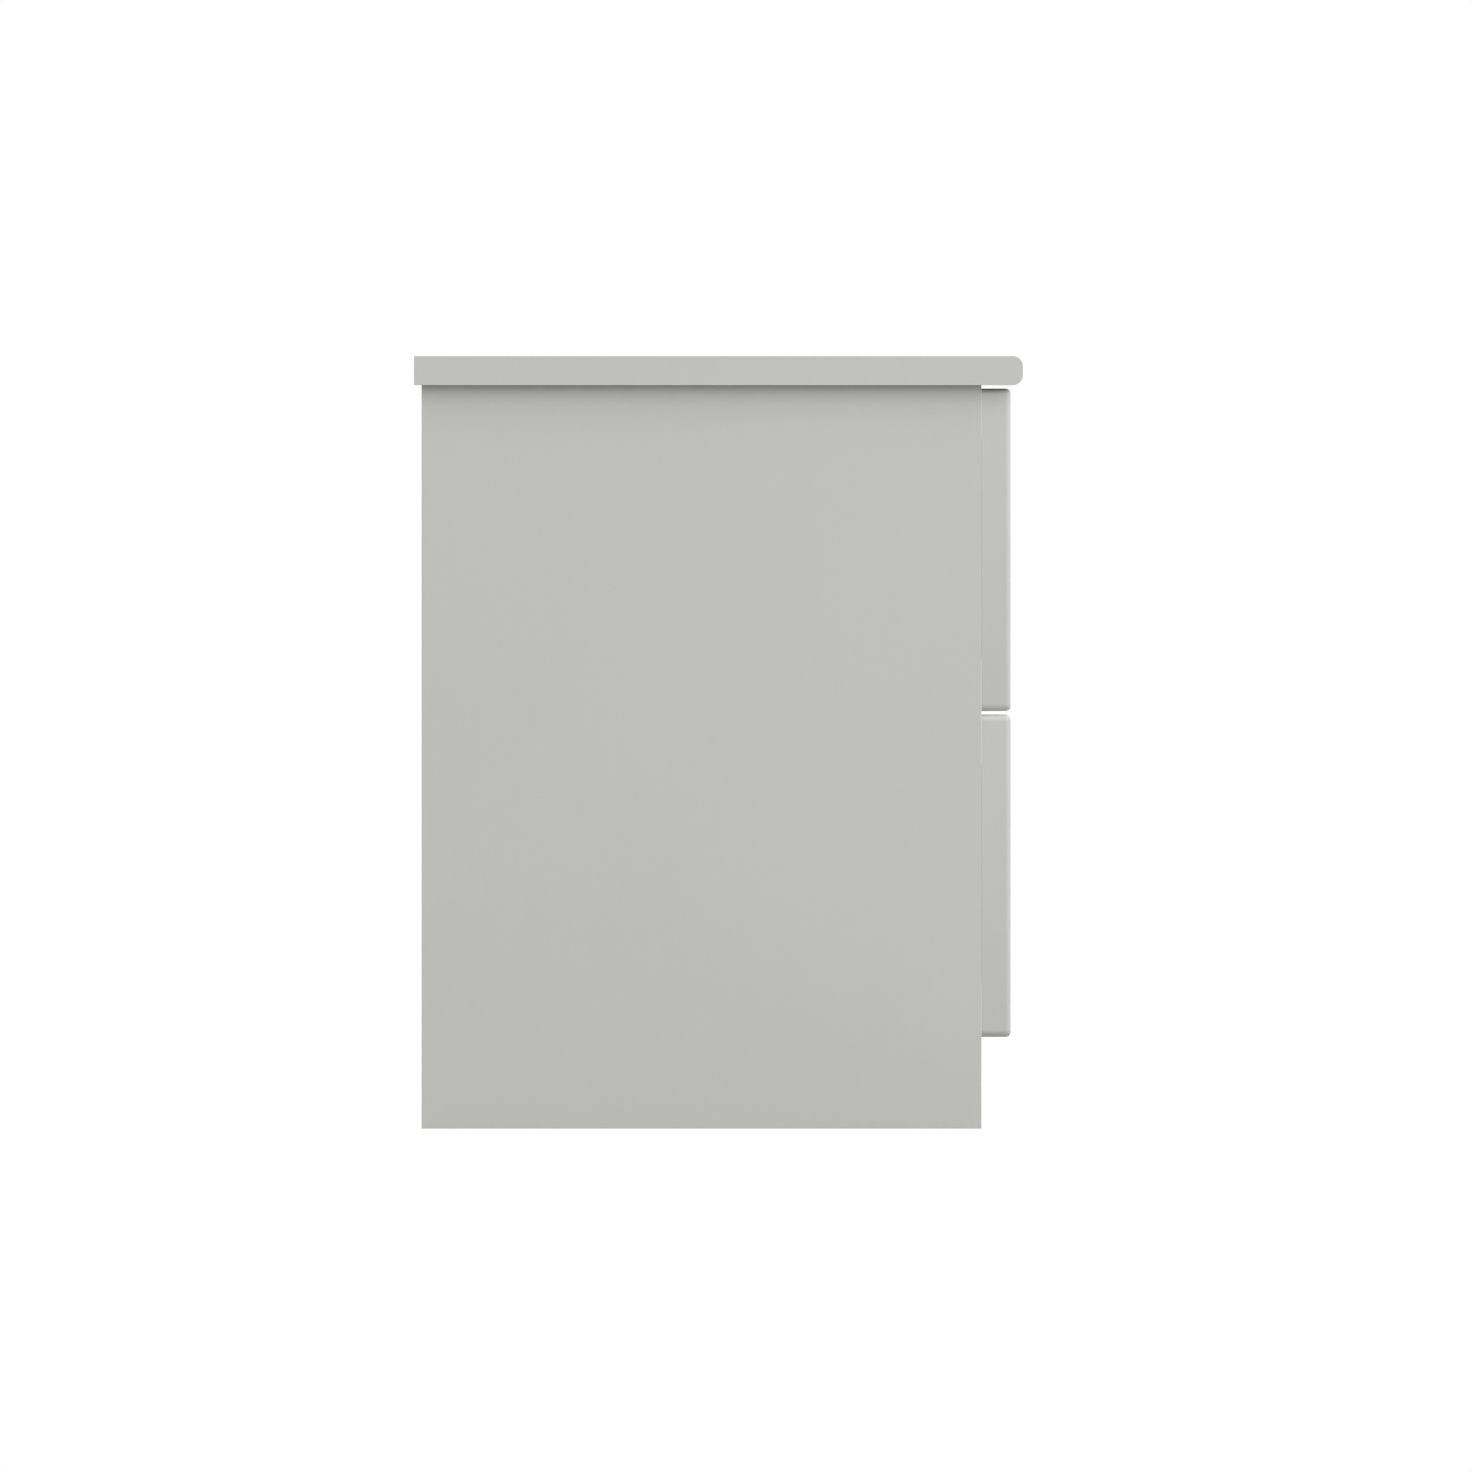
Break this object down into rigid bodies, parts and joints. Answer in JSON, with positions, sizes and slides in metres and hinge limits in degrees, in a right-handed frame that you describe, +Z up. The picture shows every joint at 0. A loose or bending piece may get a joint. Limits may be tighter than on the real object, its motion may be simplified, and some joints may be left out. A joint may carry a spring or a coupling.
{
  "type": "two-drawer nightstand",
  "caption": "Low nightstand with stacked drawers on roller runners under a flat top with a rounded front edge.",
  "frame": {"origin": "on the floor, at the middle of the footprint of the top", "axes": "+Z up; the fronts face -Y and the drawers open towards -Y; left is -X as seen from the front"},
  "size_m": [0.45, 0.398, 0.505],
  "materials": {
    "grey_foil_board": "light warm grey foil on board, satin",
    "white_foil_board": "white foil on particle board, satin",
    "white_hardboard": "hardboard, white lacquered on its upper face",
    "hardboard": "raw brown hardboard outside, light grey lacquer inside",
    "beech": "plain fluted beech",
    "die_cast_zinc": "die-cast zinc alloy, matte",
    "zinc_plated_steel": "bright zinc plate",
    "white_coated_steel": "white epoxy powder coat",
    "white_nylon": "natural white nylon",
    "bracket_plastic": "light grey moulded plastic"
  },
  "bodies": {
    "carcass": {"top_panel": "grey_foil_board", "left_side_panel": "grey_foil_board", "right_side_panel": "grey_foil_board", "plinth_board": "grey_foil_board", "base_panel": "grey_foil_board", "front_top_rail": "grey_foil_board", "rear_top_rail": "grey_foil_board", "middle_rail": "grey_foil_board", "back_panel": "hardboard", "carcass_dowels": "beech", "carcass_cam_bolts": "zinc_plated_steel", "carcass_cam_locks": "die_cast_zinc", "plinth_brackets": "bracket_plastic", "plinth_bracket_screws": "zinc_plated_steel", "back_panel_nails": "zinc_plated_steel", "top_fixing_screws": "zinc_plated_steel", "cabinet_runner_screws": "zinc_plated_steel", "cabinet_roller_pins": "zinc_plated_steel", "lower_left_cabinet_runner": "white_coated_steel", "lower_right_cabinet_runner": "white_coated_steel", "upper_left_cabinet_runner": "white_coated_steel", "upper_right_cabinet_runner": "white_coated_steel"},
    "lower_drawer": {"lower_drawer_front": "grey_foil_board", "lower_drawer_left_side": "white_foil_board", "lower_drawer_right_side": "white_foil_board", "lower_drawer_back": "white_foil_board", "lower_drawer_bottom": "white_hardboard", "lower_drawer_cam_bolts": "zinc_plated_steel", "lower_drawer_cam_locks": "die_cast_zinc", "lower_drawer_dowels": "beech", "lower_drawer_back_screws": "zinc_plated_steel", "lower_drawer_bottom_screws": "zinc_plated_steel", "lower_drawer_left_runner": "white_coated_steel", "lower_drawer_right_runner": "white_coated_steel", "lower_drawer_runner_screws": "zinc_plated_steel", "lower_drawer_roller_pins": "zinc_plated_steel"},
    "lower_left_front_roller": {"lower_left_front_roller": "white_nylon"},
    "lower_left_rear_roller": {"lower_left_rear_roller": "white_nylon"},
    "lower_right_front_roller": {"lower_right_front_roller": "white_nylon"},
    "lower_right_rear_roller": {"lower_right_rear_roller": "white_nylon"},
    "upper_drawer": {"upper_drawer_front": "grey_foil_board", "upper_drawer_left_side": "white_foil_board", "upper_drawer_right_side": "white_foil_board", "upper_drawer_back": "white_foil_board", "upper_drawer_bottom": "white_hardboard", "upper_drawer_cam_bolts": "zinc_plated_steel", "upper_drawer_cam_locks": "die_cast_zinc", "upper_drawer_dowels": "beech", "upper_drawer_back_screws": "zinc_plated_steel", "upper_drawer_bottom_screws": "zinc_plated_steel", "upper_drawer_left_runner": "white_coated_steel", "upper_drawer_right_runner": "white_coated_steel", "upper_drawer_runner_screws": "zinc_plated_steel", "upper_drawer_roller_pins": "zinc_plated_steel"},
    "upper_left_front_roller": {"upper_left_front_roller": "white_nylon"},
    "upper_left_rear_roller": {"upper_left_rear_roller": "white_nylon"},
    "upper_right_front_roller": {"upper_right_front_roller": "white_nylon"},
    "upper_right_rear_roller": {"upper_right_rear_roller": "white_nylon"}
  },
  "joints": [
    {"name": "lower_drawer_slide", "type": "slide", "parent": "carcass", "child": "lower_drawer", "axis": [0, -1, 0], "range_m": [0, 0.26]},
    {"name": "lower_left_front_roller_spin", "type": "hinge", "parent": "carcass", "child": "lower_left_front_roller", "pos_m": [-0.19085, -0.156, 0.1032], "axis": [1, 0, 0], "continuous": true},
    {"name": "lower_left_rear_roller_spin", "type": "hinge", "parent": "lower_drawer", "child": "lower_left_rear_roller", "pos_m": [-0.19085, 0.164, 0.10275], "axis": [1, 0, 0], "continuous": true},
    {"name": "lower_right_front_roller_spin", "type": "hinge", "parent": "carcass", "child": "lower_right_front_roller", "pos_m": [0.19085, -0.156, 0.1032], "axis": [1, 0, 0], "continuous": true},
    {"name": "lower_right_rear_roller_spin", "type": "hinge", "parent": "lower_drawer", "child": "lower_right_rear_roller", "pos_m": [0.19085, 0.164, 0.10275], "axis": [1, 0, 0], "continuous": true},
    {"name": "upper_drawer_slide", "type": "slide", "parent": "carcass", "child": "upper_drawer", "axis": [0, -1, 0], "range_m": [0, 0.26]},
    {"name": "upper_left_front_roller_spin", "type": "hinge", "parent": "carcass", "child": "upper_left_front_roller", "pos_m": [-0.19085, -0.156, 0.31625], "axis": [1, 0, 0], "continuous": true},
    {"name": "upper_left_rear_roller_spin", "type": "hinge", "parent": "upper_drawer", "child": "upper_left_rear_roller", "pos_m": [-0.19085, 0.164, 0.3158], "axis": [1, 0, 0], "continuous": true},
    {"name": "upper_right_front_roller_spin", "type": "hinge", "parent": "carcass", "child": "upper_right_front_roller", "pos_m": [0.19085, -0.156, 0.31625], "axis": [1, 0, 0], "continuous": true},
    {"name": "upper_right_rear_roller_spin", "type": "hinge", "parent": "upper_drawer", "child": "upper_right_rear_roller", "pos_m": [0.19085, 0.164, 0.3158], "axis": [1, 0, 0], "continuous": true}
  ],
  "couplings": [
    {"joint": "lower_left_front_roller_spin", "follows": "lower_drawer_slide", "rad_per_m": 95.238},
    {"joint": "lower_left_rear_roller_spin", "follows": "lower_drawer_slide", "rad_per_m": 95.238},
    {"joint": "lower_right_front_roller_spin", "follows": "lower_drawer_slide", "rad_per_m": 95.238},
    {"joint": "lower_right_rear_roller_spin", "follows": "lower_drawer_slide", "rad_per_m": 95.238},
    {"joint": "upper_left_front_roller_spin", "follows": "upper_drawer_slide", "rad_per_m": 95.238},
    {"joint": "upper_left_rear_roller_spin", "follows": "upper_drawer_slide", "rad_per_m": 95.238},
    {"joint": "upper_right_front_roller_spin", "follows": "upper_drawer_slide", "rad_per_m": 95.238},
    {"joint": "upper_right_rear_roller_spin", "follows": "upper_drawer_slide", "rad_per_m": 95.238}
  ]
}
